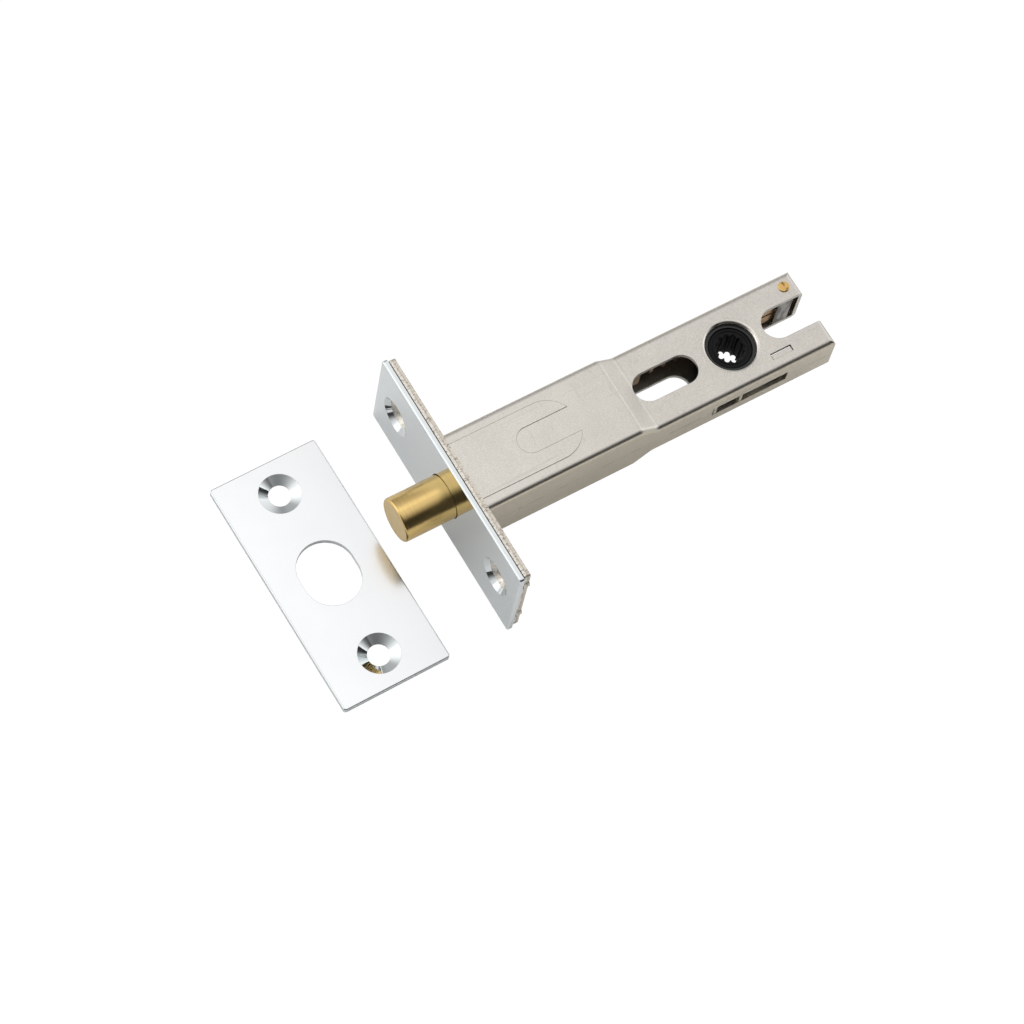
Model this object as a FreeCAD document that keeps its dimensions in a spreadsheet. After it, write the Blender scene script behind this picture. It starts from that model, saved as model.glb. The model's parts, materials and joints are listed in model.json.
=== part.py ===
"""Tubular mortice bolt driven by a splined key, with its loose strike plate.

Millimetres. The origin is the centre of the forend's front face, on the bolt's axis. +X runs back
along the case, +Y along the forend's long side, and +Z out of the case's flat top, which is also
the axis of the splined hub. The bolt is modelled thrown.
"""
import FreeCAD, Part

import os

import Sketcher

DIMENSIONS = {
    # forend: a polished cover over a sheared backing plate
    "plate_length": 56.6,
    "plate_width": 25.5,
    "plate_corner": 0.7,
    "cover_thickness": 1.1,
    "backing_thickness": 1.7,
    "backing_step": 0.3,
    "backing_step_inset": 1.5,
    "backing_length": 55.6,
    "backing_width": 25.0,
    "backing_corner": 0.5,
    "nib_radius": 1.5,
    "nib_rise": 0.45,
    "nib_upper": 8.2,
    "nib_lower": -6.4,
    "bolt_hole_radius": 5.2,
    "screw_spacing": 41.2,
    "screw_radius": 2.45,
    "sink_radius": 4.6,
    "sink_depth": 2.15,
    # pressed case, in two halves that meet at a seam along the middle
    "sheet": 0.9,
    "case_half_width": 9.7,
    "front_half_height": 7.9,
    "rear_half_height": 5.35,
    "case_end": 90.7,
    "ramp_start": 41.8,
    "ramp_end": 46.0,
    "ramp_shift": 0.27,
    "seam_height": 0.0,
    "seam_gap": 0.03,
    "case_bend": 1.3,
    "ramp_bend": 1.6,
    "case_reach": 12.0,
    "relief_half_width": 4.9,
    "relief_depth": 0.8,
    "relief_round": 0.5,
    "tab_inner": 5.0,
    "tab_outer": 8.0,
    "tab_clearance": 0.05,
    # raised panel on the case's broad faces
    "panel_rise": 0.12,
    "panel_half_width": 7.0,
    "panel_straight": 24.3,
    "panel_arc_share": 0.62,
    "panel_notch_radius": 3.05,
    "panel_notch_centre": 19.95,
    # openings in the narrow part of the case
    "fixing_start": 45.8,
    "fixing_end": 61.2,
    "fixing_radius": 3.45,
    "fork_start": 78.2,
    "fork_radius": 3.65,
    "window_start": 60.3,
    "window_end": 79.1,
    "window_half_height": 1.6,
    "collar_height": 0.9,
    "collar_wall": 0.5,
    "collar_flare": 0.8,
    "lug_slot_start": 76.3,
    "lug_slot_end": 81.5,
    "lug_slot_low": -7.05,
    "lug_slot_high": -5.6,
    "lug_clearance": 0.2,
    "lug_thickness": 1.05,
    "lug_top": 5.1,
    "flange_start": 84.6,
    "flange_end": 88.4,
    "flange_face": 3.75,
    "flange_thickness": 0.7,
    "flange_top": 4.25,
    "finger_width": 0.7,
    "finger_inset": 0.1,
    "front_finger": 60.7,
    "middle_finger": 67.1,
    # splined hub and its two bushes
    "backset": 70.0,
    "tooth_pitch": 3.14159265,
    "pitch_radius": 6.0,
    "pinion_root": 4.75,
    "pinion_tip": 6.9,
    "pinion_flank": 5.9,
    "pinion_half_root": 0.68,
    "pinion_half_flank": 0.7,
    "pinion_half_tip": 0.34,
    "pinion_half_height": 2.9,
    "boss_radius": 4.8,
    "boss_half_height": 4.1,
    "boss_bevel": 0.2,
    "spline_radius": 2.8,
    "lobe_radius": 0.62,
    "face_groove_inner": 3.75,
    "face_groove_outer": 4.1,
    "face_groove_depth": 0.2,
    "bush_bore": 4.86,
    "bush_radius": 5.43,
    "bush_seat": 5.45,
    "bush_flange": 6.4,
    "bush_flange_start": 2.98,
    "bush_flange_height": 0.42,
    "bush_top": 4.25,
    # bolt, rack plates and their fasteners
    "throw": 12.0,
    "bolt_radius": 5.0,
    "bolt_round": 0.55,
    "bolt_rear": 24.0,
    "bolt_slot_start": 15.5,
    "bolt_slot_half_height": 2.0,
    "guide_gap": 0.05,
    "guide_length": 8.0,
    "guide_bore": 5.06,
    "guide_round": 1.2,
    "plate_gap": 0.02,
    "rack_thickness": 1.95,
    "tongue_half_width": 4.0,
    "tongue_start": 15.7,
    "yoke_start": 24.3,
    "yoke_end": 29.5,
    "yoke_half_width": 8.25,
    "leg_inner": 4.3,
    "leg_end": 50.5,
    "rack_end": 74.4,
    "rack_root": 7.1,
    "rack_tip": 5.2,
    "rack_half_root": 1.12,
    "rack_half_tip": 0.42,
    "rack_teeth": 7,
    "pin_station": 20.0,
    "pin_radius": 1.5,
    "pin_half_length": 4.7,
    "pin_clearance": 0.02,
    "stud_radius": 0.9,
    "stud_head": 1.4,
    "stud_head_height": 0.35,
    "stud_offset": 6.25,
    "stud_front": 27.0,
    "stud_rear": 47.5,
    # bronze detent spring in the far prong, and the rivet behind it
    "blade_face": 4.5,
    "blade_thickness": 0.35,
    "blade_end": 88.2,
    "blade_root": 81.7,
    "detent_x": 80.43,
    "detent_rise": 1.15,
    "blade_tip": 78.7,
    "blade_half_height": 3.3,
    "blade_slit_end": 84.0,
    "blade_slit": 0.35,
    "rivet_x": 87.6,
    "rivet_y": 6.7,
    "rivet_radius": 1.0,
    "rivet_head": 1.25,
    "rivet_rise": 0.3,
    "rivet_round": 0.14,
    # strike plate, lying flat beside the bolt's end
    "strike_x": -26.6,
    "strike_y": 0.2,
    "strike_turn": 0.6,
    "strike_thickness": 1.25,
    "strike_hole_radius": 6.35,
    "strike_hole_straight": 2.4,
    "strike_sink_depth": 1.1,
    "plate_edge_round": 0.3,
}

TWO_SIDES = (1, -1)
PINION_TEETH = 12
FULL_TURN = 360.0
# the hub is turned so that a tooth gap faces the rack, which puts its first lobe at 45 degrees
FIRST_LOBE_ANGLE = 30.0
AXIS_SIGN = {"XY": 1, "XZ": -1, "YZ": 1}

doc = FreeCAD.newDocument("mortice_bolt")
sheet = doc.addObject("Spreadsheet::Sheet", "Dims")
for row, (alias, number) in enumerate(DIMENSIONS.items(), start=1):
    sheet.set(f"A{row}", alias.replace("_", " "))
    sheet.set(f"B{row}", str(number))
    sheet.setAlias(f"B{row}", alias)
doc.recompute()


class Expressions(dict):
    """Turns a bare alias in a format string into its spreadsheet reference."""

    def __missing__(self, alias):
        if alias not in DIMENSIONS:
            raise KeyError(alias)
        return f"Dims.{alias}"


def dim(text):
    """An expression: every {alias} in text becomes a reference to its cell."""
    return str(text).format_map(Expressions())


def value(text):
    """The present value of an expression written for dim()."""
    result = sheet.evalExpression(dim(text))
    return float(getattr(result, "Value", result))


# ---- sketch outlines: each function returns one that draws in the sketch it is given ----


def hold(sketch, kind, geometry, vertex, text):
    """Constrains one vertex's coordinate, measured from the sketch's origin, to an expression."""
    index = sketch.addConstraint(Sketcher.Constraint(kind, geometry, vertex, value(text)))
    sketch.setExpression(f"Constraints[{index}]", dim(text))


def hold_point(sketch, geometry, vertex, x, y):
    hold(sketch, "DistanceX", geometry, vertex, x)
    hold(sketch, "DistanceY", geometry, vertex, y)


def hold_radius(sketch, geometry, radius):
    index = sketch.addConstraint(Sketcher.Constraint("Radius", geometry, value(radius)))
    sketch.setExpression(f"Constraints[{index}]", dim(radius))


def outline(corners):
    """A closed outline of straight lines through corners, each a pair of expressions."""

    def draw(sketch):
        points = [FreeCAD.Vector(value(x), value(y), 0) for x, y in corners]
        first = sketch.GeometryCount
        count = len(points)
        for index, point in enumerate(points):
            sketch.addGeometry(Part.LineSegment(point, points[(index + 1) % count]), False)
        for index, (x, y) in enumerate(corners):
            before = first + (index - 1) % count
            sketch.addConstraint(Sketcher.Constraint("Coincident", before, 2, first + index, 1))
            hold_point(sketch, first + index, 1, x, y)

    return draw


def rectangle(x_low, y_low, x_high, y_high):
    return outline([(x_low, y_low), (x_high, y_low), (x_high, y_high), (x_low, y_high)])


def disc(x, y, radius):
    def draw(sketch):
        centre = FreeCAD.Vector(value(x), value(y), 0)
        circle = Part.Circle(centre, FreeCAD.Vector(0, 0, 1), value(radius))
        index = sketch.addGeometry(circle, False)
        hold_point(sketch, index, 3, x, y)
        hold_radius(sketch, index, radius)

    return draw


def obround(x_first, x_last, radius):
    """A slot along the sketch's x axis, given by its two end centres on that axis."""

    def draw(sketch):
        left = FreeCAD.Vector(value(x_first), 0, 0)
        right = FreeCAD.Vector(value(x_last), 0, 0)
        side = FreeCAD.Vector(0, value(radius), 0)
        reach = FreeCAD.Vector(value(radius), 0, 0)
        right_arc = sketch.addGeometry(Part.Arc(right - side, right + reach, right + side), False)
        top = sketch.addGeometry(Part.LineSegment(right + side, left + side), False)
        left_arc = sketch.addGeometry(Part.Arc(left + side, left - reach, left - side), False)
        bottom = sketch.addGeometry(Part.LineSegment(left - side, right - side), False)
        joints = ((right_arc, 2, top, 1), (top, 2, left_arc, 1),
                  (left_arc, 2, bottom, 1), (bottom, 2, right_arc, 1))
        for joint in joints:
            sketch.addConstraint(Sketcher.Constraint("Tangent", *joint))
        for arc, x in ((right_arc, x_last), (left_arc, x_first)):
            hold_point(sketch, arc, 3, x, "0")
            hold_radius(sketch, arc, radius)

    return draw


# ---- a sub-part built as one PartDesign body ----


class Piece:
    """A body whose pads and cuts start at a stated coordinate and run along the sketch's normal.

    The normal is +Z on XY sketches, +X on YZ sketches and -Y on XZ sketches.
    """

    def __init__(self, name):
        self.name = name
        self.body = doc.addObject("PartDesign::Body", name)
        self.body.Label = name
        self.count = 0
        pieces.append(self)

    def place(self, **coordinates):
        for axis, text in coordinates.items():
            self.body.setExpression(f"Placement.Base.{axis}", dim(text))

    def sketch(self, plane, start, draw):
        self.count += 1
        sketch = self.body.newObject("Sketcher::SketchObject", f"{self.name}_sketch_{self.count}")
        origin = next(f for f in self.body.Origin.OriginFeatures if f.Role == f"{plane}_Plane")
        sketch.AttachmentSupport = (origin, [""])
        sketch.MapMode = "FlatFace"
        offset = f"{AXIS_SIGN[plane]} * ({start})"
        sketch.setExpression("AttachmentOffset.Base.z", dim(offset))
        draw(sketch)
        return sketch

    def extrude(self, kind, plane, start, length, draw):
        before = self.body.Shape.Volume if self.count else 0.0
        sketch = self.sketch(plane, start, draw)
        feature = self.body.newObject(f"PartDesign::{kind}", f"{self.name}_{kind}_{self.count}")
        feature.Profile = sketch
        feature.setExpression("Length", dim(length))
        feature.Reversed = kind == "Pocket"
        sketch.Visibility = False
        doc.recompute()
        grown = self.body.Shape.Volume - before
        if grown * (1 if kind == "Pad" else -1) <= 0:
            raise RuntimeError(f"{feature.Name} changed nothing")
        return feature

    def pad(self, plane, start, length, draw):
        return self.extrude("Pad", plane, start, length, draw)

    def cut(self, plane, start, length, draw):
        return self.extrude("Pocket", plane, start, length, draw)

    def dress(self, kind, size_name, size, chosen):
        """Rounds or bevels the tip's edges for which chosen(edge) is true."""
        self.count += 1
        base = self.body.Tip
        edges = [f"Edge{i}" for i, edge in enumerate(base.Shape.Edges, start=1) if chosen(edge)]
        if not edges:
            raise RuntimeError(f"{self.name}: no edge to dress")
        feature = self.body.newObject(f"PartDesign::{kind}", f"{self.name}_{kind}_{self.count}")
        feature.Base = (base, edges)
        feature.setExpression(size_name, dim(size))
        doc.recompute()

    def round(self, radius, chosen):
        self.dress("Fillet", "Radius", radius, chosen)

    def bevel(self, size, chosen):
        self.dress("Chamfer", "Size", size, chosen)

    def repeat(self, kind, original, direction, count, extent_name, extent):
        """A linear or polar pattern of one feature, about the axes of that feature's own sketch."""
        self.count += 1
        pattern = self.body.newObject(f"PartDesign::{kind}", f"{self.name}_{kind}_{self.count}")
        pattern.Originals = [original]
        axis_name, axis = direction
        setattr(pattern, axis_name, (original.Profile[0], [axis]))
        pattern.setExpression(extent_name, dim(extent))
        pattern.Occurrences = count
        self.body.Tip = pattern
        doc.recompute()

    def sink(self, x, y, z, turn_to_x):
        """Countersinks a screw hole: a cone that narrows along +X, or down along -Z."""
        self.count += 1
        cone = self.body.newObject("PartDesign::SubtractiveCone", f"{self.name}_sink_{self.count}")
        axis = FreeCAD.Vector(0, 1, 0) if turn_to_x else FreeCAD.Vector(1, 0, 0)
        angle = 90 if turn_to_x else 180
        cone.Placement = FreeCAD.Placement(FreeCAD.Vector(), FreeCAD.Rotation(axis, angle))
        for name, text in (("x", x), ("y", y), ("z", z)):
            cone.setExpression(f"Placement.Base.{name}", dim(text))
        cone.setExpression("Radius1", dim("{sink_radius}"))
        cone.setExpression("Radius2", dim("{screw_radius}"))
        cone.setExpression("Height", dim("{sink_depth}" if turn_to_x else "{strike_sink_depth}"))
        self.body.Tip = cone
        doc.recompute()

    def turn(self, degrees):
        """Turns the piece about its own z axis."""
        upright = FreeCAD.Vector(0, 0, 1)
        rotation = FreeCAD.Rotation(upright, degrees)
        self.body.Placement = FreeCAD.Placement(FreeCAD.Vector(), rotation)


pieces = []


# ---- ways to pick edges ----


def near(first, second):
    return abs(first - second) < 1e-3


def ends(edge):
    return edge.Vertexes[0].Point, edge.Vertexes[-1].Point


def runs_along(edge, axis):
    """True for a straight edge parallel to the named axis."""
    if len(edge.Vertexes) < 2 or not isinstance(edge.Curve, (Part.Line, Part.LineSegment)):
        return False
    first, last = ends(edge)
    step = last - first
    return near(abs(getattr(step, axis)), step.Length)


def is_circle(edge, radius, **at):
    """True for a full circle of that radius whose centre has the stated coordinates."""
    if not isinstance(edge.Curve, Part.Circle) or len(edge.Vertexes) > 1:
        return False
    centre = edge.Curve.Center
    matches = all(near(getattr(centre, axis), place) for axis, place in at.items())
    return matches and near(edge.Curve.Radius, radius)


# ---- forend ----


def blank(name, start, thickness, length, width, corner):
    """A rectangular plate across the bolt, with rounded corners."""
    plate = Piece(name)
    edge = rectangle(f"-{length} / 2", f"-{width} / 2", f"{length} / 2", f"{width} / 2")
    plate.pad("YZ", start, thickness, edge)
    plate.round(corner, lambda edge: runs_along(edge, "x"))
    return plate


def pierce(plate, start, thickness):
    """The bolt's hole and two countersunk screw holes."""
    plate.cut("YZ", start, thickness, disc("0", "0", "{bolt_hole_radius}"))
    for side in TWO_SIDES:
        place = f"{side} * {{screw_spacing}} / 2"
        plate.cut("YZ", start, thickness, disc(place, "0", "{screw_radius}"))
        plate.sink("0", place, "0", turn_to_x=True)


def outer_forend():
    plate = blank("outer_forend", "0", "{cover_thickness}", "{plate_length}",
                  "{plate_width}", "{plate_corner}")
    pierce(plate, "0", "{cover_thickness}")
    half_length = value("{plate_length} / 2")
    half_width = value("{plate_width} / 2")

    def on_front_rim(edge):
        middle = edge.valueAt((edge.FirstParameter + edge.LastParameter) / 2)
        on_rim = abs(middle.y) > half_length - 1 or abs(middle.z) > half_width - 1
        return on_rim and all(near(vertex.X, 0) for vertex in edge.Vertexes)

    plate.round("{plate_edge_round}", on_front_rim)


def inner_forend():
    """The sheared backing plate: its rim steps back from the cover and its ends keep their nibs."""
    start = "{cover_thickness} + {backing_step}"
    thickness = "{backing_thickness} - {backing_step}"
    plate = blank("inner_forend", start, thickness, "{backing_length}", "{backing_width}",
                  "{backing_corner}")
    for side in TWO_SIDES:
        for level in ("{nib_upper}", "{nib_lower}"):
            across = f"{side} * ({{backing_length}} / 2 + {{nib_rise}} - {{nib_radius}})"
            plate.pad("YZ", start, thickness, disc(across, level, "{nib_radius}"))
    half_length = "({backing_length} / 2 - {backing_step_inset})"
    half_width = "({backing_width} / 2 - {backing_step_inset})"
    contact = rectangle(f"-{half_length}", f"-{half_width}", half_length, half_width)
    plate.pad("YZ", "{cover_thickness}", "{backing_step}", contact)
    pierce(plate, "{cover_thickness}", "{backing_thickness}")
    for across in TWO_SIDES:
        for up in TWO_SIDES:
            near_y = f"{across} * ({{tab_inner}} - {{tab_clearance}})"
            far_y = f"{across} * ({{tab_outer}} + {{tab_clearance}})"
            near_z = f"{up} * ({{front_half_height}} - {{sheet}} - {{tab_clearance}})"
            far_z = f"{up} * ({{front_half_height}} + {{tab_clearance}})"
            slot = rectangle(near_y, near_z, far_y, far_z)
            plate.cut("YZ", "{cover_thickness}", "{backing_thickness}", slot)


# ---- case ----

CASE_START = "({cover_thickness} + {backing_thickness})"


def case_profile(up, inset, front, end, seam):
    """The half case's side profile, drawn in from its outer faces by inset."""
    front_level = f"{up} * ({{front_half_height}} - {inset})"
    rear_level = f"{up} * ({{rear_half_height}} - {inset})"
    shift = f"{{ramp_shift}} * {inset} / {{sheet}}"
    return outline([
        (front, seam),
        (front, front_level),
        (f"{{ramp_start}} - {shift}", front_level),
        (f"{{ramp_end}} - {shift}", rear_level),
        (end, rear_level),
        (end, seam),
    ])


def raised_panel(half, up):
    """A shallow pressed panel: a tongue with a round end and a deep round-bottomed notch."""

    def draw(sketch):
        level_front = value(CASE_START)
        width = value("{panel_half_width}")
        straight = value("{panel_straight}")
        notch = value("{panel_notch_radius}")
        share = value("{panel_arc_share}")
        centre = value("{panel_notch_centre}")
        reach = (width ** 2 - notch ** 2) ** 0.5
        turn = 0.5 ** 0.5

        def at(x, y):
            return FreeCAD.Vector(x, y, 0)

        for side in TWO_SIDES:
            along = reach * share
            across = (width ** 2 - along ** 2) ** 0.5
            middle = at(straight + along, side * across)
            tip = at(straight + reach, side * notch)
            sketch.addGeometry(Part.LineSegment(at(level_front, side * width),
                                                at(straight, side * width)), False)
            sketch.addGeometry(Part.Arc(at(straight, side * width), middle, tip), False)
            sketch.addGeometry(Part.LineSegment(tip, at(centre, side * notch)), False)
            sketch.addGeometry(Part.Arc(at(centre, side * notch),
                                        at(centre - notch * turn, side * notch * turn),
                                        at(centre - notch, 0)), False)
        sketch.addGeometry(Part.LineSegment(at(level_front, -width), at(level_front, width)), False)

    outer = "({front_half_height} - {sheet} / 2)"
    rise = "{sheet} / 2 + {panel_rise}"
    start = outer if up > 0 else f"-{outer} - ({rise})"
    half.pad("XY", start, rise, draw)


def case_half(name, up):
    """One pressed half of the case, open towards the seam and at the forend."""
    half = Piece(name)
    seam = f"({{seam_height}} + {up} * {{seam_gap}} / 2)"
    half.pad("XZ", "{case_half_width}", "2 * {case_half_width}",
             case_profile(up, "0", CASE_START, "{case_end}", seam))
    rear_level = value("{rear_half_height}")
    front_level = value("{front_half_height}")
    side_level = value("{case_half_width}")
    end_level = value("{case_end}")

    def on_broad_face(point):
        return up * point.z > rear_level - 1e-3

    half.round("{ramp_bend}", lambda edge: runs_along(edge, "y") and all(
        on_broad_face(point) and value("{ramp_start}") - 1 < point.x < value("{ramp_end}") + 1
        for point in ends(edge)))

    def is_pressed_corner(edge):
        first, last = ends(edge)
        along_side = near(abs(first.y), side_level) and near(first.y, last.y)
        around_end = near(first.x, end_level) and near(last.x, end_level)
        from_front = not (near(first.x, last.x) and first.x < end_level - 1)
        on_face = on_broad_face(first) and on_broad_face(last)
        return (along_side or around_end) and from_front and on_face

    half.round("{case_bend}", is_pressed_corner)
    half.cut("XZ", "{case_half_width} - {sheet}", "2 * ({case_half_width} - {sheet})",
             case_profile(up, "{sheet}", f"{CASE_START} - 1", "{case_end} - {sheet}",
                          f"{seam} - {up} * 1"))
    raised_panel(half, up)

    through_start = "-{case_reach}"
    through = "2 * {case_reach}"
    half.cut("XY", through_start, through,
             obround("{fixing_start} + {fixing_radius}", "{fixing_end} - {fixing_radius}",
                     "{fixing_radius}"))
    half.cut("XY", through_start, through,
             obround("{fork_start} + {fork_radius}", "{case_end} + {fork_radius} + 1",
                     "{fork_radius}"))
    relief_end = f"{CASE_START} + {{relief_depth}}"
    relief = rectangle(f"{CASE_START} - 1", "-{relief_half_width}",
                       relief_end, "{relief_half_width}")
    half.cut("XY", through_start, through, relief)
    relief_level = value(relief_end)
    half.round("{relief_round}", lambda edge: runs_along(edge, "z") and near(
        ends(edge)[0].x, relief_level))
    half.cut("XY", through_start, through, disc("{rivet_x}", "{rivet_y}", "{rivet_radius}"))

    collar_foot = "({rear_half_height} - {sheet} - {collar_height})"
    collar_rise = "{collar_height} + {sheet} / 2"
    collar_start = collar_foot if up > 0 else f"-{collar_foot} - ({collar_rise})"
    half.pad("XY", collar_start, collar_rise, disc("{backset}", "0", "{bush_seat} + {collar_wall}"))
    half.cut("XY", through_start, through, disc("{backset}", "0", "{bush_seat}"))
    seat = value("{bush_seat}")
    half.round("{collar_flare}", lambda edge: is_circle(edge, seat, z=up * rear_level))

    window = rectangle("{window_start}", "{seam_height} - {window_half_height}",
                       "{window_end}", "{seam_height} + {window_half_height}")
    half.cut("XZ", "{case_reach}", "2 * {case_reach}", window)

    for across in TWO_SIDES:
        edges = (f"{across} * {{tab_inner}}", f"{across} * {{tab_outer}}")
        levels = (f"{up} * ({{front_half_height}} - {{sheet}})", f"{up} * {{front_half_height}}")
        tab = rectangle(edges[0], levels[0], edges[1], levels[1])
        half.pad("YZ", "{cover_thickness} + {tab_clearance}",
                 "{backing_thickness} + {sheet}", tab)
    return half


def upper_case():
    half = case_half("upper_case", 1)
    slot = rectangle("{lug_slot_start}", "{lug_slot_low}", "{lug_slot_end}", "{lug_slot_high}")
    half.cut("XY", "0", "{case_reach}", slot)


def lower_case():
    half = case_half("lower_case", -1)
    floor = "-{rear_half_height} + {sheet} / 2"
    lug = rectangle("{lug_slot_start} + {lug_clearance}", "{lug_slot_low} + {lug_clearance} / 4",
                    "{lug_slot_end} - {lug_clearance}",
                    "{lug_slot_low} + {lug_clearance} / 4 + {lug_thickness}")
    half.pad("XY", floor, "{lug_top} + {rear_half_height} - {sheet} / 2", lug)
    flange = rectangle("{flange_start}", "{flange_face}", "{flange_end}",
                       "{flange_face} + {flange_thickness}")
    half.pad("XY", floor, "{flange_top} + {rear_half_height} - {sheet} / 2", flange)
    sill = "{seam_height} - {window_half_height} - 0.1"
    finger_height = "2 * {window_half_height} + 0.1 - {finger_inset}"
    for across in TWO_SIDES:
        outer = f"{across} * ({{case_half_width}} - {{finger_inset}})"
        inner = f"{across} * ({{case_half_width}} - {{sheet}})"
        for start in ("{front_finger}", "{middle_finger}"):
            finger = rectangle(start, inner, f"{start} + {{finger_width}}", outer)
            half.pad("XY", sill, finger_height, finger)


def front_guide():
    """The block behind the forend that guides the bolt."""
    guide = Piece("front_guide")
    half_width = "({case_half_width} - {sheet} - 2 * {guide_gap})"
    half_height = "({front_half_height} - {sheet} - 2 * {guide_gap})"
    start = f"{CASE_START} + {{guide_gap}}"
    block = rectangle(f"-{half_width}", f"-{half_height}", half_width, half_height)
    guide.pad("YZ", start, "{guide_length}", block)
    guide.round("{guide_round}", lambda edge: runs_along(edge, "x"))
    guide.cut("YZ", start, "{guide_length}", disc("0", "0", "{guide_bore}"))


# ---- hub ----


def face_ring(hub, start):
    """A shallow ring turned into one end face of the hub."""

    def draw(sketch):
        disc("0", "0", "{face_groove_outer}")(sketch)
        disc("0", "0", "{face_groove_inner}")(sketch)

    hub.cut("XY", start, "{face_groove_depth}", draw)


def splined_hub():
    """Moulded pinion with a boss at each end and a bore of round lobes for the key."""
    hub = Piece("splined_hub")
    hub.place(x="{backset}")
    gear_start = "-{pinion_half_height}"
    gear_height = "2 * {pinion_half_height}"
    hub.pad("XY", gear_start, gear_height, disc("0", "0", "{pinion_root}"))
    tooth = hub.pad("XY", gear_start, gear_height, outline([
        ("-{pinion_half_root}", "{pinion_root} - 0.5"),
        ("{pinion_half_root}", "{pinion_root} - 0.5"),
        ("{pinion_half_flank}", "{pinion_flank}"),
        ("{pinion_half_tip}", "{pinion_tip}"),
        ("-{pinion_half_tip}", "{pinion_tip}"),
        ("-{pinion_half_flank}", "{pinion_flank}"),
    ]))
    hub.repeat("PolarPattern", tooth, ("Axis", "N_Axis"), PINION_TEETH, "Angle", FULL_TURN)
    boss_start = "-{boss_half_height}"
    boss_height = "2 * {boss_half_height}"
    hub.pad("XY", boss_start, boss_height, disc("0", "0", "{boss_radius}"))
    boss = value("{boss_radius}")
    hub.bevel("{boss_bevel}", lambda edge: is_circle(edge, boss))
    hub.cut("XY", boss_start, boss_height, disc("0", "0", "{spline_radius}"))
    lobe_x = f"{{spline_radius}} * cos({FIRST_LOBE_ANGLE})"
    lobe_y = f"{{spline_radius}} * sin({FIRST_LOBE_ANGLE})"
    lobe = hub.cut("XY", boss_start, boss_height, disc(lobe_x, lobe_y, "{lobe_radius}"))
    hub.repeat("PolarPattern", lobe, ("Axis", "N_Axis"), PINION_TEETH, "Angle", FULL_TURN)
    face_ring(hub, "-{boss_half_height}")
    face_ring(hub, "{boss_half_height} - {face_groove_depth}")
    half_tooth = FULL_TURN / PINION_TEETH / 2
    hub.body.Placement.Rotation = FreeCAD.Rotation(FreeCAD.Vector(0, 0, 1), half_tooth)


def hub_bush(name, up):
    """A flanged ring that seats in the case's collar and carries one boss of the hub."""
    bush = Piece(name)
    bush.place(x="{backset}")
    height = "({bush_top} - {bush_flange_start})"
    start = "{bush_flange_start}" if up > 0 else "-{bush_top}"
    bush.pad("XY", start, height, disc("0", "0", "{bush_radius}"))
    flange = "{bush_flange_start}" if up > 0 else "-{bush_flange_start} - {bush_flange_height}"
    bush.pad("XY", flange, "{bush_flange_height}", disc("0", "0", "{bush_flange}"))
    bush.cut("XY", start, height, disc("0", "0", "{bush_bore}"))


# ---- bolt and rack ----


def bolt_rod():
    """The round bolt: rounded tip in front, and behind a slot for the rack plates' tongue."""
    rod = Piece("bolt_rod")
    rod.pad("YZ", "-{throw}", "{throw} + {bolt_rear}", disc("0", "0", "{bolt_radius}"))
    radius = value("{bolt_radius}")
    tip = value("-{throw}")
    rod.round("{bolt_round}", lambda edge: is_circle(edge, radius, x=tip))
    slot = rectangle("{bolt_slot_start}", "-{bolt_slot_half_height}",
                     "{bolt_rear} + 1", "{bolt_slot_half_height}")
    rod.cut("XZ", "{case_reach}", "2 * {case_reach}", slot)
    rod.cut("XY", "-{case_reach}", "2 * {case_reach}",
            disc("{pin_station}", "0", "{pin_radius} + {pin_clearance}"))


def stud_stations():
    for station in ("{stud_front}", "{stud_rear}"):
        for side in TWO_SIDES:
            yield station, f"{side} * {{stud_offset}}"


def rack_plate(name, up):
    """One of two stacked plates: a tongue, a yoke, a short leg and a long leg with rack teeth."""
    plate = Piece(name)
    start = "{plate_gap}" if up > 0 else "-{plate_gap} - {rack_thickness}"
    thickness = "{rack_thickness}"
    plate.pad("XY", start, thickness, outline([
        ("{tongue_start}", "-{tongue_half_width}"),
        ("{yoke_start}", "-{tongue_half_width}"),
        ("{yoke_start}", "-{yoke_half_width}"),
        ("{leg_end}", "-{yoke_half_width}"),
        ("{leg_end}", "-{leg_inner}"),
        ("{yoke_end}", "-{leg_inner}"),
        ("{yoke_end}", "{leg_inner}"),
        ("{leg_end}", "{leg_inner}"),
        ("{leg_end}", "{rack_root}"),
        ("{rack_end}", "{rack_root}"),
        ("{rack_end}", "{yoke_half_width}"),
        ("{yoke_start}", "{yoke_half_width}"),
        ("{yoke_start}", "{tongue_half_width}"),
        ("{tongue_start}", "{tongue_half_width}"),
    ]))
    centre = "({backset} + {tooth_pitch})"
    tooth = plate.pad("XY", start, thickness, outline([
        (f"{centre} - {{rack_half_root}}", "{rack_root} + 0.1"),
        (f"{centre} - {{rack_half_root}}", "{rack_root}"),
        (f"{centre} - {{rack_half_tip}}", "{rack_tip}"),
        (f"{centre} + {{rack_half_tip}}", "{rack_tip}"),
        (f"{centre} + {{rack_half_root}}", "{rack_root}"),
        (f"{centre} + {{rack_half_root}}", "{rack_root} + 0.1"),
    ]))
    teeth = int(value("{rack_teeth}"))
    plate.repeat("LinearPattern", tooth, ("Direction", "H_Axis"), teeth, "Length",
                 "({rack_teeth} - 1) * {tooth_pitch}")
    plate.body.Tip.Reversed = True
    doc.recompute()
    plate.cut("XY", start, thickness,
              disc("{pin_station}", "0", "{pin_radius} + {pin_clearance}"))
    for x, y in stud_stations():
        plate.cut("XY", start, thickness, disc(x, y, "{stud_radius} + {pin_clearance}"))


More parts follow.
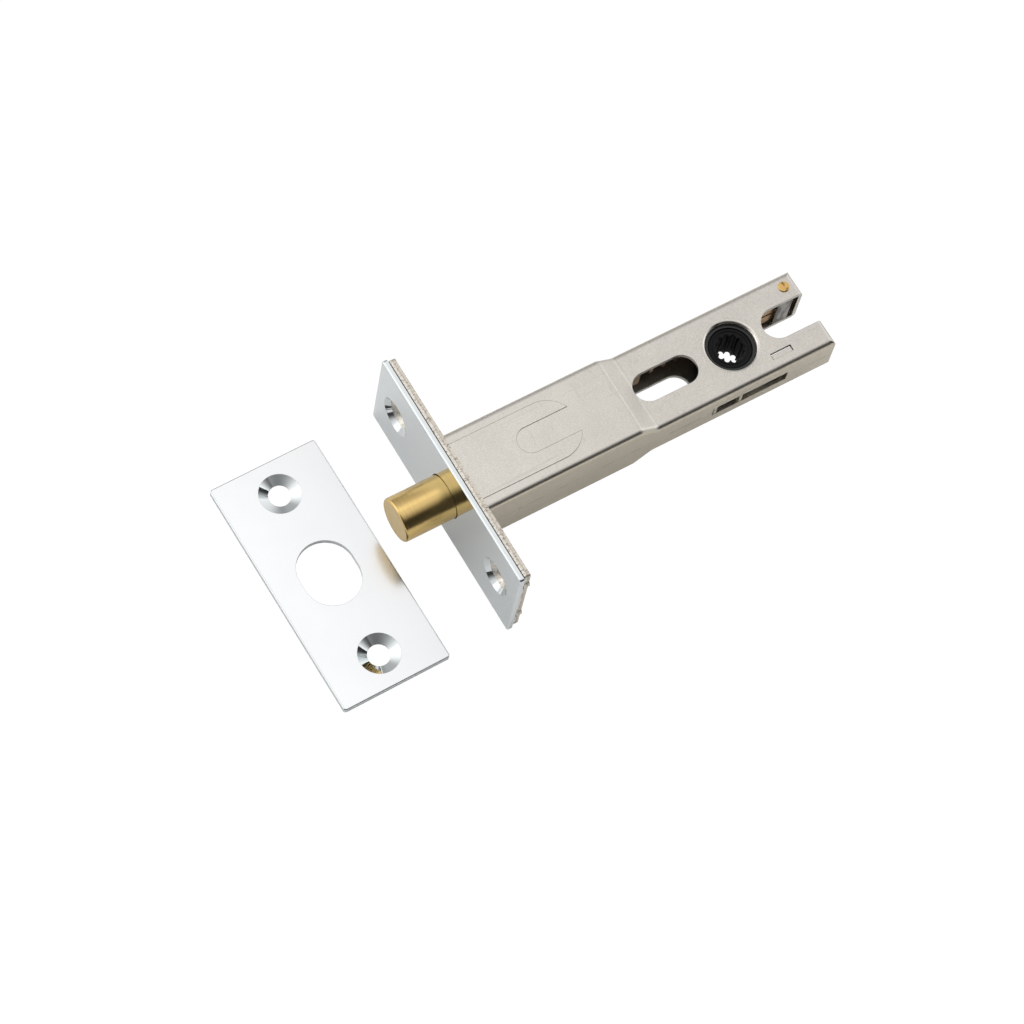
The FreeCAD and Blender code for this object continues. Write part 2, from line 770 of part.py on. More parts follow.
def link_pin():
    """The cross pin that holds the rack plates' tongue in the bolt."""
    pin = Piece("link_pin")
    pin.place(x="{pin_station}")
    pin.pad("XY", "-{pin_half_length}", "2 * {pin_half_length}", disc("0", "0", "{pin_radius}"))
    radius = value("{pin_radius}")
    pin.bevel("{pin_radius} / 5", lambda edge: is_circle(edge, radius))


def primitive(kind, name, sizes, base):
    """A Part primitive with its sizes and its placement bound to the sheet."""
    item = doc.addObject(f"Part::{kind}", name)
    for prop, text in sizes.items():
        item.setExpression(prop, dim(text))
    for axis, text in zip("xyz", base):
        item.setExpression(f"Placement.Base.{axis}", dim(text))
    return item


def plate_studs():
    """Four headed studs that clamp the two rack plates together, as one group."""
    studs = []
    face = "({plate_gap} + {rack_thickness})"
    for index, (x, y) in enumerate(stud_stations(), start=1):
        shank = primitive("Cylinder", f"stud_shank_{index}",
                          {"Radius": "{stud_radius}", "Height": f"2 * {face}"},
                          (x, y, f"-{face}"))
        upper = primitive("Cylinder", f"stud_upper_head_{index}",
                          {"Radius": "{stud_head}", "Height": "{stud_head_height}"},
                          (x, y, face))
        lower = primitive("Cylinder", f"stud_lower_head_{index}",
                          {"Radius": "{stud_head}", "Height": "{stud_head_height}"},
                          (x, y, f"-{face} - {{stud_head_height}}"))
        stud = doc.addObject("Part::MultiFuse", f"stud_{index}")
        stud.Shapes = [shank, upper, lower]
        studs.append(stud)
    group = doc.addObject("Part::Compound", "plate_studs")
    group.Label = "plate_studs"
    group.Links = studs
    loose.append(group)


loose = []


# ---- detent, rivet and strike ----


def detent_spring():
    """A bronze blade, slit into two tines, with a fold that drops between two rack teeth."""
    spring = Piece("detent_spring")
    back = "({blade_face} + {blade_thickness})"
    fold = f"({back} + {{detent_rise}})"
    spring.pad("XY", "-{blade_half_height}", "2 * {blade_half_height}", outline([
        ("{blade_end}", "{blade_face}"),
        ("{blade_end}", back),
        ("{blade_root}", back),
        ("{detent_x}", fold),
        ("2 * {detent_x} - {blade_root}", back),
        ("{blade_tip}", back),
        ("{blade_tip}", "{blade_face}"),
        ("2 * {detent_x} - {blade_root}", "{blade_face}"),
        ("{detent_x}", f"{fold} - 1.2 * {{blade_thickness}}"),
        ("{blade_root}", "{blade_face}"),
    ]))
    slit = rectangle("{blade_tip} - 1", "-{blade_slit}", "{blade_slit_end}", "{blade_slit}")
    spring.cut("XZ", "{case_reach}", "2 * {case_reach}", slit)


def rear_rivet():
    """The brass rivet that closes the far prong."""
    rivet = Piece("rear_rivet")
    rivet.place(x="{rivet_x}", y="{rivet_y}")
    rivet.pad("XY", "-{rear_half_height}", "2 * {rear_half_height}",
              disc("0", "0", "{rivet_radius}"))
    for start in ("{rear_half_height}", "-{rear_half_height} - {rivet_rise}"):
        rivet.pad("XY", start, "{rivet_rise}", disc("0", "0", "{rivet_head}"))
    head = value("{rivet_head}")
    far = value("{rear_half_height} + {rivet_rise}")
    rivet.round("{rivet_round}", lambda edge: is_circle(edge, head, z=far) or is_circle(
        edge, head, z=-far))


def strike_plate():
    plate = Piece("strike_plate")
    plate.turn(value("{strike_turn}"))
    plate.place(x="{strike_x}", y="{strike_y}", z="-{plate_width} / 2")
    edge = rectangle("-{plate_width} / 2", "-{plate_length} / 2",
                     "{plate_width} / 2", "{plate_length} / 2")
    plate.pad("XY", "0", "{strike_thickness}", edge)
    plate.round("{plate_corner}", lambda edge: runs_along(edge, "z"))
    straight = "{strike_hole_straight} / 2"
    plate.cut("XY", "0", "{strike_thickness}",
              rectangle("-{strike_hole_radius}", f"-{straight}", "{strike_hole_radius}", straight))
    for side in TWO_SIDES:
        end = disc("0", f"{side} * {straight}", "{strike_hole_radius}")
        plate.cut("XY", "0", "{strike_thickness}", end)
        place = f"{side} * {{screw_spacing}} / 2"
        plate.cut("XY", "0", "{strike_thickness}", disc("0", place, "{screw_radius}"))
        plate.sink("0", place, "{strike_thickness}", turn_to_x=False)
    top = value("{strike_thickness}")
    half_length = value("{plate_length} / 2")
    half_width = value("{plate_width} / 2")

    def on_top_rim(edge):
        middle = edge.valueAt((edge.FirstParameter + edge.LastParameter) / 2)
        on_rim = abs(middle.y) > half_length - 1 or abs(middle.x) > half_width - 1
        return on_rim and all(near(vertex.Z, top) for vertex in edge.Vertexes)

    plate.round("{plate_edge_round}", on_top_rim)


outer_forend()
inner_forend()
upper_case()
lower_case()
front_guide()
splined_hub()
hub_bush("upper_hub_bush", 1)
hub_bush("lower_hub_bush", -1)
bolt_rod()
rack_plate("upper_rack_plate", 1)
rack_plate("lower_rack_plate", -1)
link_pin()
plate_studs()
detent_spring()
rear_rivet()
strike_plate()
doc.recompute()

failed = [item.Name for item in doc.Objects if {"Invalid", "Error"} & set(item.State)]
if failed:
    raise RuntimeError(f"these objects failed: {failed}")

os.makedirs("parts", exist_ok=True)
for item in [piece.body for piece in pieces] + loose:
    if item.Shape.isNull() or not item.Shape.isValid():
        raise RuntimeError(f"{item.Label} has no valid shape")
for item in [piece.body for piece in pieces] + loose:
    item.Shape.exportStep(os.path.join("parts", f"{item.Label}.step"))
    print(f"{item.Label:20s} {len(item.Shape.Solids)} solid(s) {item.Shape.Volume:9.1f} mm3")
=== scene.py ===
"""Looks for the tubular mortice bolt: camera, studio, and a material for every piece."""

import json
import math

import bpy
from mathutils import Matrix, Vector


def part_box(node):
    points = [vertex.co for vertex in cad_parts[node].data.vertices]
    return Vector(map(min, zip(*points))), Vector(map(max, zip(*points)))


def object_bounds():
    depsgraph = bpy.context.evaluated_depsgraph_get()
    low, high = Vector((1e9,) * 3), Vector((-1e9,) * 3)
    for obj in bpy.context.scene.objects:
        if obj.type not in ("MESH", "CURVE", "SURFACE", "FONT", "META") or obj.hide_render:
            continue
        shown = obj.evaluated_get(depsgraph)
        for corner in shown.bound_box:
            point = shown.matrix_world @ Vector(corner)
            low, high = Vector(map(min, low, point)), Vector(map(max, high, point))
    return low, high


MM = 0.001

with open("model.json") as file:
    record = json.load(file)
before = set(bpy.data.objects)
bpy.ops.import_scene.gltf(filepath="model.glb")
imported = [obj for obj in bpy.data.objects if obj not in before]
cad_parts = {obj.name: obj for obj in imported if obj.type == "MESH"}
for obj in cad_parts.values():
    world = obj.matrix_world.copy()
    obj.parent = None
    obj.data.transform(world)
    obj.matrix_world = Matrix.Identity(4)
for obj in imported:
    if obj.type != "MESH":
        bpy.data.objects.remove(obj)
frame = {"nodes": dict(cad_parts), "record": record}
cad_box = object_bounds()
nodes = frame["nodes"]


# ---------------------------------------------------------------- camera
# the photograph's viewing angle, in degrees, with the distance in metres and the lens in millimetres
VIEW_AZIMUTH = -44.096
VIEW_ELEVATION = 64.703
VIEW_ROLL = 14.759
VIEW_DISTANCE = 0.78615
VIEW_LENS = 133.08
VIEW_SENSOR = 36.0
VIEW_CLIP = (0.01, 20.0)
# what the camera looks at, from the hub's centre
VIEW_AIM = Vector((-0.05936, -0.00965, 0.0))


def make_camera():
    low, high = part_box("splined_hub")
    aim = (low + high) / 2 + VIEW_AIM
    azimuth, elevation, roll = map(math.radians, (VIEW_AZIMUTH, VIEW_ELEVATION, VIEW_ROLL))
    back = Vector((math.sin(azimuth) * math.cos(elevation),
                   -math.cos(azimuth) * math.cos(elevation),
                   math.sin(elevation)))
    level = Vector((math.cos(azimuth), math.sin(azimuth), 0.0))
    upright = back.cross(level)
    right = level * math.cos(roll) + upright * math.sin(roll)
    up = back.cross(right)
    data = bpy.data.cameras.new("camera")
    data.lens = VIEW_LENS
    data.sensor_width = VIEW_SENSOR
    data.clip_start, data.clip_end = VIEW_CLIP
    camera = bpy.data.objects.new("camera", data)
    bpy.context.scene.collection.objects.link(camera)
    turn = Matrix((right, up, back)).transposed().to_4x4()
    camera.matrix_world = Matrix.Translation(aim + back * VIEW_DISTANCE) @ turn
    bpy.context.scene.camera = camera


# ---------------------------------------------------------------- node helpers
BEVEL_SAMPLES = 6
# cosine between the flat and the rounded normal where an edge's wear starts, and where it is full
EDGE_STARTS = 0.995
EDGE_FULL = 0.9


class Graph:
    """A material or world node tree, built by short calls that return sockets."""

    def __init__(self, tree):
        self.tree = tree
        tree.nodes.clear()

    def node(self, kind, **settings):
        made = self.tree.nodes.new(kind)
        for key, value in settings.items():
            setattr(made, key, value)
        return made

    def put(self, socket, value):
        if isinstance(value, bpy.types.NodeSocket):
            self.tree.links.new(value, socket)
        else:
            socket.default_value = value

    def position(self):
        return self.node("ShaderNodeTexCoord").outputs["Object"]

    def split(self, vector):
        made = self.node("ShaderNodeSeparateXYZ")
        self.put(made.inputs[0], vector)
        return made.outputs

    def join(self, x, y, z):
        made = self.node("ShaderNodeCombineXYZ")
        for socket, value in zip(made.inputs, (x, y, z)):
            self.put(socket, value)
        return made.outputs[0]

    def math(self, operation, a, b=0.0, c=0.0):
        made = self.node("ShaderNodeMath", operation=operation)
        for socket, value in zip(made.inputs, (a, b, c)):
            self.put(socket, value)
        return made.outputs[0]

    def line(self, value, times, plus):
        return self.math("MULTIPLY_ADD", value, times, plus)

    def product(self, *values):
        total = values[0]
        for value in values[1:]:
            total = self.math("MULTIPLY", total, value)
        return total

    def length(self, a, b):
        squares = self.math("ADD", self.math("MULTIPLY", a, a), self.math("MULTIPLY", b, b))
        return self.math("SQRT", squares)

    def scaled(self, vector, x, y, z):
        made = self.node("ShaderNodeVectorMath", operation="MULTIPLY")
        self.put(made.inputs[0], vector)
        made.inputs[1].default_value = (x, y, z)
        return made.outputs[0]

    def noise(self, vector, scale, detail=3.0, rough=0.55, stretch=(1, 1, 1)):
        if stretch != (1, 1, 1):
            vector = self.scaled(vector, *stretch)
        made = self.node("ShaderNodeTexNoise")
        self.put(made.inputs["Vector"], vector)
        made.inputs["Scale"].default_value = scale
        made.inputs["Detail"].default_value = detail
        made.inputs["Roughness"].default_value = rough
        return made.outputs["Fac"]

    def ramp(self, value, *stops):
        """stops are (position, grey or colour)."""
        made = self.node("ShaderNodeValToRGB")
        self.put(made.inputs[0], value)
        bands = made.color_ramp.elements
        while len(bands) < len(stops):
            bands.new(0.5)
        for band, (where, colour) in zip(bands, stops):
            band.position = where
            band.color = (colour,) * 3 + (1,) if isinstance(colour, (int, float)) else (*colour, 1)
        return made.outputs[0]

    def span(self, value, low, high, to_low=0.0, to_high=1.0, smooth=True):
        made = self.node("ShaderNodeMapRange", clamp=True)
        made.interpolation_type = "SMOOTHSTEP" if smooth else "LINEAR"
        for socket, v in zip(made.inputs, (value, low, high, to_low, to_high)):
            self.put(socket, v)
        return made.outputs[0]

    def mix(self, factor, a, b, blend="MIX"):
        made = self.node("ShaderNodeMix", data_type="RGBA", blend_type=blend)
        made.clamp_factor = True
        self.put(made.inputs[0], factor)
        for socket, value in ((made.inputs[6], a), (made.inputs[7], b)):
            self.put(socket, (*value, 1) if isinstance(value, tuple) else value)
        return made.outputs[2]

    def bump(self, height, distance, strength, normal=None):
        made = self.node("ShaderNodeBump")
        self.put(made.inputs["Height"], height)
        made.inputs["Distance"].default_value = distance
        made.inputs["Strength"].default_value = strength
        if normal is not None:
            self.put(made.inputs["Normal"], normal)
        return made.outputs[0]

    def edge(self, radius):
        """Two sockets: 1 on an edge of that radius and 0 on the flats, and the rounded normal."""
        soft = self.node("ShaderNodeBevel", samples=BEVEL_SAMPLES)
        soft.inputs["Radius"].default_value = radius
        flat = self.node("ShaderNodeNewGeometry").outputs["Normal"]
        dot = self.node("ShaderNodeVectorMath", operation="DOT_PRODUCT")
        self.put(dot.inputs[0], soft.outputs[0])
        self.put(dot.inputs[1], flat)
        return self.span(dot.outputs["Value"], EDGE_STARTS, EDGE_FULL), soft.outputs[0]

    def shade(self, **sockets):
        surface = self.node("ShaderNodeBsdfPrincipled")
        for name, value in sockets.items():
            self.put(surface.inputs[name.replace("_", " ")], value)
        out = self.node("ShaderNodeOutputMaterial")
        self.put(out.inputs["Surface"], surface.outputs[0])


def material(name):
    made = bpy.data.materials.new(name)
    made.use_nodes = True
    return made, Graph(made.node_tree)


# ---------------------------------------------------------------- studio
FLOOR_HALF = 1.6
PAPER_GREY = 0.93
PAPER_FILL = 0.08
# the camera sees the paper as an almost plain white backdrop
BACKDROP_GLOW = 1.06
BACKDROP_SHARE = 0.93


def make_floor():
    low = cad_box[0].z
    centre = (cad_box[0] + cad_box[1]) / 2
    mesh = bpy.data.meshes.new("floor")
    corners = [(centre.x + sx * FLOOR_HALF, centre.y + sy * FLOOR_HALF, low)
               for sx, sy in ((-1, -1), (1, -1), (1, 1), (-1, 1))]
    mesh.from_pydata(corners, [], [(0, 1, 2, 3)])
    floor = bpy.data.objects.new("floor", mesh)
    bpy.context.scene.collection.objects.link(floor)
    made, g = material("studio_paper")
    paper = g.node("ShaderNodeBsdfDiffuse")
    paper.inputs["Color"].default_value = (PAPER_GREY, PAPER_GREY, PAPER_GREY, 1)
    glow = g.node("ShaderNodeEmission")
    glow.inputs["Strength"].default_value = BACKDROP_GLOW
    blend = g.node("ShaderNodeMixShader")
    seen = g.node("ShaderNodeLightPath").outputs["Is Camera Ray"]
    g.put(blend.inputs[0], g.product(seen, BACKDROP_SHARE))
    fill = g.node("ShaderNodeEmission")
    fill.inputs["Strength"].default_value = PAPER_FILL
    lit = g.node("ShaderNodeAddShader")
    g.put(lit.inputs[0], paper.outputs[0])
    g.put(lit.inputs[1], fill.outputs[0])
    g.put(blend.inputs[1], lit.outputs[0])
    g.put(blend.inputs[2], glow.outputs[0])
    g.put(g.node("ShaderNodeOutputMaterial").inputs["Surface"], blend.outputs[0])
    floor.data.materials.append(made)


SOFTBOX_PLACE = Vector((0.15, 0.28, 0.80))
SOFTBOX_WIDTH = 0.16
SOFTBOX_HEIGHT = 0.36
SOFTBOX_RADIANCE = 0.70


def make_softbox():
    """A long box light that shines straight down."""
    data = bpy.data.lights.new("front", "AREA")
    data.shape = "RECTANGLE"
    data.size = SOFTBOX_WIDTH
    data.size_y = SOFTBOX_HEIGHT
    data.energy = SOFTBOX_RADIANCE * math.pi * SOFTBOX_WIDTH * SOFTBOX_HEIGHT
    lamp = bpy.data.objects.new("front", data)
    bpy.context.scene.collection.objects.link(lamp)
    lamp.location = SOFTBOX_PLACE
    lamp.rotation_mode = "QUATERNION"
    lamp.rotation_quaternion = Vector((0.0, 0.0, -1.0)).to_track_quat("-Z", "Y")
    lamp.visible_camera = False


# brightness round the studio, from +Y (0) over the top (0.5) to -Y (1)
SKY = ((0.00, 0.40), (0.20, 0.70), (0.38, 1.15), (0.55, 1.15), (0.74, 0.06), (1.00, 0.06))
# how far the pattern swings toward +X, and the x it is centred on
SKY_SWING = 0.35
SKY_CENTRE = 0.3
# each light's share of the sky: where it starts along its direction, and where it is full
WALL_SPAN = (0.45, 0.85)
WALL_LIGHT = 0.60
SIDE_TOWARD = (-0.8, 0.6)
SIDE_SPAN = (0.55, 0.85)
SIDE_LIGHT = 0.9
REAR_SPAN = (0.27, 0.40)
REAR_FADE = 0.30


def make_sky():
    """Bright overhead, dimmer to +Y and dark to -Y, with light at +X and between -X and +Y."""
    world = bpy.data.worlds.new("studio")
    bpy.context.scene.world = world
    world.use_nodes = True
    g = Graph(world.node_tree)
    x, y, z = g.split(g.node("ShaderNodeTexCoord").outputs["Generated"])
    across = g.line(g.math("SUBTRACT", x, SKY_CENTRE), times=SKY_SWING, plus=y)
    turn = g.math("ARCTAN2", g.math("MAXIMUM", z, 0.0), across)
    sky = g.ramp(g.math("DIVIDE", turn, math.pi), *SKY)
    wall = g.span(x, *WALL_SPAN, to_high=WALL_LIGHT)
    toward_side = g.line(y, times=SIDE_TOWARD[1], plus=g.math("MULTIPLY", x, SIDE_TOWARD[0]))
    side = g.span(toward_side, *SIDE_SPAN, to_high=SIDE_LIGHT)
    lit = g.mix(1.0, sky, g.math("ADD", wall, side), "ADD")
    # the overhead light hangs over the front of the object and fades toward the rear
    fade = g.product(g.span(x, *REAR_SPAN, to_high=REAR_FADE), g.math("MAXIMUM", z, 0.0))
    back = g.node("ShaderNodeBackground")
    g.put(back.inputs["Color"], g.mix(1.0, lit, fade, "SUBTRACT"))
    g.put(g.node("ShaderNodeOutputWorld").inputs["Surface"], back.outputs[0])


def make_studio():
    make_floor()
    make_sky()
    make_softbox()
    bpy.context.scene.view_settings.view_transform = "Standard"
    bpy.context.scene.view_settings.look = "None"


# ---------------------------------------------------------------- materials
CHROME = ((0.655, 0.690, 0.700), (0.695, 0.720, 0.725))
CHROME_EDGE = (0.80, 0.81, 0.82)
SATIN_CHROME = (0.61, 0.615, 0.62)
# how far under the face the satin begins and where it is full
SATIN_DEPTH = (0.03 * MM, 0.02 * MM)


def polished_chrome(name="polished_chrome", satin_above=None):
    """Mirror chrome with faint smudges. A face at the height satin_above is rubbed to a satin."""
    made, g = material(name)
    where = g.position()
    smudge = g.noise(where, scale=90.0, detail=4.0)
    fine = g.noise(where, scale=900.0, detail=2.0, stretch=(1.0, 0.25, 1.0))
    hair = g.noise(where, scale=2600.0, detail=2.0, stretch=(1.0, 0.04, 1.0))
    worn, rounded = g.edge(0.12 * MM)
    colour = g.mix(smudge, *CHROME)
    colour = g.mix(worn, colour, CHROME_EDGE)
    rough = g.line(smudge, times=0.035, plus=0.022)
    rough = g.line(worn, times=0.14, plus=rough)
    if satin_above is not None:
        height = g.split(where)[2]
        face = g.span(height, *(satin_above - depth for depth in SATIN_DEPTH))
        rough = g.line(face, times=0.17, plus=rough)
        colour = g.mix(face, colour, SATIN_CHROME)
    wave = g.noise(where, scale=160.0, detail=1.0)
    normal = g.bump(wave, distance=0.0012 * MM, strength=0.5, normal=rounded)
    normal = g.bump(g.math("ADD", fine, hair), distance=0.0005 * MM, strength=0.25, normal=normal)
    g.shade(Base_Color=colour, Metallic=1.0, Roughness=rough, Normal=normal)
    return made


NICKEL = (0.665, 0.638, 0.592)
NICKEL_GREYED = (0.80, 0.79, 0.77)
NICKEL_SPECK = (0.30, 0.27, 0.23)
NICKEL_DRAG = (0.36, 0.33, 0.29)
NICKEL_SCUFF = (0.42, 0.39, 0.35)
NICKEL_EDGE = (0.72, 0.69, 0.64)
# tint for the case's bends and sides: painted shade
NICKEL_SIDE_SHADE = (1.0, 0.955, 0.85)
# colour of the line along the pressed panel's edges: painted shade
PANEL_EDGE_SHADE = (0.20, 0.165, 0.12)
SEAM_SOIL = (0.05, 0.04, 0.03)
# dark colour for the inside of the case: old oil and painted shade
OIL_AND_INSIDE_SHADE = (0.030, 0.024, 0.018)
# Places on the case. In each pair a mark starts at the first value and is full at the second.
# Depths are inward from the case's side, top or end.
SIDE_SHADE_DEPTH = (0.8 * MM, 0.05 * MM)
PANEL_HALF_WIDTH = (7.6 * MM, 7.3 * MM)
PANEL_DEPTH = (0.45 * MM, 0.35 * MM)
SEAM_HALF_HEIGHT = (0.10 * MM, 0.04 * MM)
SEAM_DEPTH = (0.2 * MM, 0.1 * MM)
COLLAR_RADIUS = (7.1 * MM, 6.3 * MM)
COLLAR_BASE = 4.6 * MM
INSIDE_SIDE_DEPTH = 0.9 * MM
INSIDE_END_DEPTH = 1.3 * MM
INSIDE_HALF_HEIGHT = 4.25 * MM


def satin_nickel():
    """Satin plating on pressed steel: grain, drawing marks, soil in the seam, old oil inside, and
    painted shade on the sides, along the panel's edges and inside the case.
    """
    made, g = material("satin_nickel")
    where = g.position()
    x, y, z = g.split(where)
    mottle = g.noise(where, scale=110.0, detail=5.0, rough=0.65)
    grain = g.noise(where, scale=4200.0, detail=3.0, rough=0.7)
    speck = g.noise(where, scale=9000.0, detail=2.0, rough=0.6)
    drag = g.noise(where, scale=900.0, detail=4.0, rough=0.6, stretch=(1.0, 0.30, 0.06))
    scuff = g.noise(where, scale=1300.0, detail=2.0, rough=0.5, stretch=(0.03, 1.0, 1.0))
    worn, rounded = g.edge(0.16 * MM)
    base = g.mix(mottle, tuple(c * 0.90 for c in NICKEL), tuple(c * 1.12 for c in NICKEL))
    grey = g.mix(1.0, base, NICKEL_GREYED, "MULTIPLY")
    base = g.mix(g.span(grain, 0.30, 0.72), grey, base)
    base = g.mix(g.span(speck, 0.62, 0.74, to_high=0.30), base, NICKEL_SPECK)
    base = g.mix(g.span(drag, 0.60, 0.72, to_high=0.22), base, NICKEL_DRAG)
    base = g.mix(g.span(scuff, 0.66, 0.74, to_high=0.25), base, NICKEL_SCUFF)
    base = g.mix(g.product(worn, 0.4), base, NICKEL_EDGE)

    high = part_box("upper_case")[1]
    off_y = g.math("ABSOLUTE", y)
    off_z = g.math("ABSOLUTE", z)
    # the bends and sides are tinted warmer and a little darker than the top: painted shade
    side_shade = g.span(off_y, *(high.y - depth for depth in SIDE_SHADE_DEPTH))
    base = g.mix(side_shade, base, g.mix(1.0, base, NICKEL_SIDE_SHADE, "MULTIPLY"))
    # thin dark line painted along the pressed panel's edges: painted shade
    panel_edge_shade = g.product(g.span(off_y, *PANEL_HALF_WIDTH),
                        g.span(off_z, *(high.z - depth for depth in PANEL_DEPTH)),
                        g.product(worn, 0.8))
    base = g.mix(panel_edge_shade, base, PANEL_EDGE_SHADE)
    # closed seam between the halves, showing here and there
    seam = g.product(g.span(off_z, *SEAM_HALF_HEIGHT),
                     g.span(off_y, *(high.y - depth for depth in SEAM_DEPTH)))
    patches = g.noise(where, scale=170.0, detail=2.0)
    showing = g.span(patches, 0.50, 0.56, to_low=0.15, to_high=0.85)
    base = g.mix(g.product(seam, showing), base, SEAM_SOIL)
    # inside of the case painted dark in streaks: old oil and painted shade
    inside = g.product(g.math("LESS_THAN", off_y, high.y - INSIDE_SIDE_DEPTH),
                       g.math("LESS_THAN", off_z, INSIDE_HALF_HEIGHT),
                       g.math("LESS_THAN", x, high.x - INSIDE_END_DEPTH))
    streaks = g.noise(where, scale=420.0, detail=3.0, stretch=(1.0, 1.0, 0.35))
    oil_and_shade = g.span(streaks, 0.38, 0.60, to_low=0.45, to_high=0.92)
    base = g.mix(g.product(inside, oil_and_shade), base, OIL_AND_INSIDE_SHADE)
    # the drawn collar round the hub is rubbed smoother
    hub_low, hub_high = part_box("splined_hub")
    from_hub = g.math("SUBTRACT", x, (hub_low.x + hub_high.x) / 2)
    collar = g.product(g.span(g.length(from_hub, y), *COLLAR_RADIUS),
                       g.math("GREATER_THAN", off_z, COLLAR_BASE))
    rough = g.line(grain, times=0.12, plus=0.24)
    rough = g.line(mottle, times=0.06, plus=rough)
    rough = g.line(collar, times=-0.10, plus=rough)
    normal = g.bump(grain, distance=0.006 * MM, strength=0.6, normal=rounded)
    normal = g.bump(drag, distance=0.004 * MM, strength=0.35, normal=normal)
    g.shade(Base_Color=base, Metallic=1.0, Roughness=rough, Normal=normal)
    return made


# colour through the sheet, from its front face (0) to its rear face (1)
SHEARED = ((0.0, (0.74, 0.71, 0.65)), (0.42, (0.78, 0.74, 0.67)), (0.60, (0.50, 0.45, 0.38)),
           (0.74, (0.66, 0.61, 0.54)), (1.0, (0.62, 0.58, 0.51)))
SHEARED_PIT = (0.22, 0.18, 0.15)
SHEARED_GLINT = (0.74, 0.72, 0.68)


def sheared_nickel():
    """Plated sheet with the burnished and torn bands that a shear leaves on its edges."""
    made, g = material("sheared_nickel")
    low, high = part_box("inner_forend")
    where = g.position()
    through = g.span(g.split(where)[0], low.x, high.x, smooth=False)
    ragged = g.noise(where, scale=1400.0, detail=4.0, rough=0.7)
    speck = g.noise(where, scale=3800.0, detail=3.0, rough=0.7, stretch=(0.5, 1, 1))
    torn = g.line(g.math("SUBTRACT", ragged, 0.5), times=0.5, plus=through)
    colour = g.mix(g.span(speck, 0.52, 0.66), g.ramp(torn, *SHEARED), SHEARED_PIT)
    colour = g.mix(g.span(speck, 0.36, 0.26), colour, SHEARED_GLINT)
    rough = g.line(ragged, times=0.25, plus=0.30)
    normal = g.bump(ragged, distance=0.02 * MM, strength=0.5)
    normal = g.bump(speck, distance=0.012 * MM, strength=0.5, normal=normal)
    g.shade(Base_Color=colour, Metallic=1.0, Roughness=rough, Normal=normal)
    return made


def brass(name, light, dark, rough, rings=False, peen=0.0):
    """Brass or bronze. rings are tool lines round the x axis and on the ends, peen is a dent's depth."""
    made, g = material(name)
    where = g.position()
    x, y, z = g.split(where)
    mottle = g.noise(where, scale=160.0, detail=4.0, rough=0.6)
    lines = g.noise(g.join(x, 0.0, 0.0), scale=5200.0, detail=4.0, rough=0.7)
    pits = g.noise(where, scale=2600.0, detail=3.0, rough=0.6)
    worn, rounded = g.edge(0.10 * MM)
    colour = g.mix(mottle, dark, light)
    colour = g.mix(g.product(worn, 0.6), colour, tuple(min(1.0, c * 1.25) for c in light))
    normal = g.bump(pits, distance=0.004 * MM, strength=0.4, normal=rounded)
    if peen:
        dents = g.noise(where, scale=1100.0, detail=2.0, rough=0.5)
        hollows = g.span(dents, 0.46, 0.36, to_high=0.8)
        colour = g.mix(hollows, colour, tuple(c * 0.25 for c in dark))
        normal = g.bump(dents, distance=peen, strength=0.8, normal=normal)
    if rings:
        facing = g.noise(g.join(g.length(y, z), 0.0, 0.0), scale=4200.0, detail=4.0, rough=0.7)
        grooves = g.span(lines, 0.60, 0.40, to_high=0.35)
        colour = g.mix(grooves, colour, tuple(c * 0.7 for c in dark))
        normal = g.bump(lines, distance=0.010 * MM, strength=0.55, normal=normal)
        normal = g.bump(facing, distance=0.010 * MM, strength=0.55, normal=normal)
    g.shade(Base_Color=colour, Metallic=1.0, Normal=normal,
            Roughness=g.line(lines, times=0.14, plus=rough))
    return made


MOULDED_EDGE = (0.09, 0.09, 0.092)


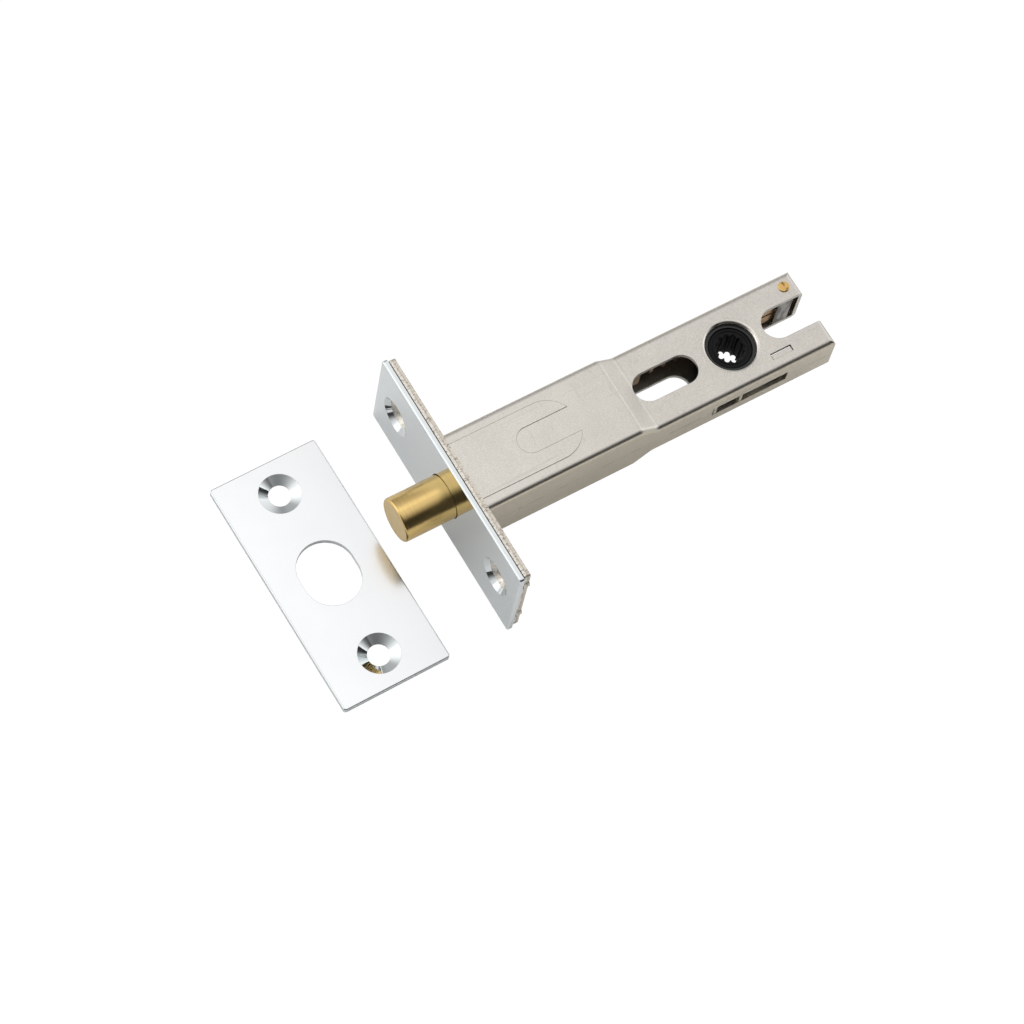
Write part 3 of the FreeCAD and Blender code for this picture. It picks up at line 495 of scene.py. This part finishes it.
def moulded(name, colour, rough, shine):
    """Black plastic with a cloudy skin, greyer at its edges."""
    made, g = material(name)
    where = g.position()
    skin = g.noise(where, scale=2400.0, detail=3.0, rough=0.6)
    cloud = g.noise(where, scale=260.0, detail=3.0, rough=0.6)
    worn, rounded = g.edge(0.10 * MM)
    base = g.mix(cloud, colour, tuple(c * 1.7 + 0.004 for c in colour))
    base = g.mix(g.product(worn, 0.25), base, MOULDED_EDGE)
    normal = g.bump(skin, distance=0.010 * MM, strength=0.5, normal=rounded)
    g.shade(Base_Color=base, Specular_IOR_Level=shine, Normal=normal,
            Roughness=g.line(skin, times=0.2, plus=rough))
    return made


ZINC = ((0.50, 0.51, 0.53), (0.66, 0.67, 0.68))


def zinc_steel():
    """Zinc-plated steel with a fine spangle."""
    made, g = material("zinc_steel")
    where = g.position()
    spangle = g.noise(where, scale=600.0, detail=3.0, rough=0.6)
    grain = g.noise(where, scale=3000.0, detail=3.0)
    g.shade(Base_Color=g.mix(spangle, *ZINC), Metallic=1.0,
            Roughness=g.line(spangle, times=0.2, plus=0.25),
            Normal=g.bump(grain, distance=0.006 * MM, strength=0.6))
    return made


BRASSES = {
    "sintered_bronze": dict(light=(0.36, 0.26, 0.16), dark=(0.24, 0.17, 0.10), rough=0.45),
    "turned_brass": dict(light=(0.80, 0.58, 0.25), dark=(0.66, 0.46, 0.17), rough=0.17, rings=True),
    "rolled_brass": dict(light=(0.42, 0.30, 0.18), dark=(0.30, 0.20, 0.12), rough=0.34),
    "spring_bronze": dict(light=(0.60, 0.38, 0.20), dark=(0.44, 0.27, 0.14), rough=0.26),
    "rivet_brass": dict(light=(0.82, 0.52, 0.19), dark=(0.52, 0.33, 0.12), rough=0.24,
                        peen=0.06 * MM),
}
MOULDINGS = {
    "black_nylon": dict(colour=(0.004, 0.004, 0.0042), rough=0.34, shine=0.11),
    "black_acetal": dict(colour=(0.005, 0.005, 0.0055), rough=0.14, shine=0.5),
}


def paint():
    """Give every piece the material of its slot, and the strike plate its own satin face."""
    finishes = {
        "polished_chrome": polished_chrome(),
        "sheared_nickel": sheared_nickel(),
        "satin_nickel": satin_nickel(),
        "zinc_steel": zinc_steel(),
    }
    finishes.update({slot: brass(slot, **look) for slot, look in BRASSES.items()})
    finishes.update({slot: moulded(slot, **look) for slot, look in MOULDINGS.items()})
    strike_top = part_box("strike_plate")[1].z
    own = {"strike_plate": polished_chrome("satin_chrome", strike_top)}
    for part in frame["record"]["subparts"]:
        piece = nodes[part["node"]]
        piece.data.materials.clear()
        piece.data.materials.append(own.get(part["node"]) or finishes[part["material_slot"]])


make_camera()
make_studio()
paint()
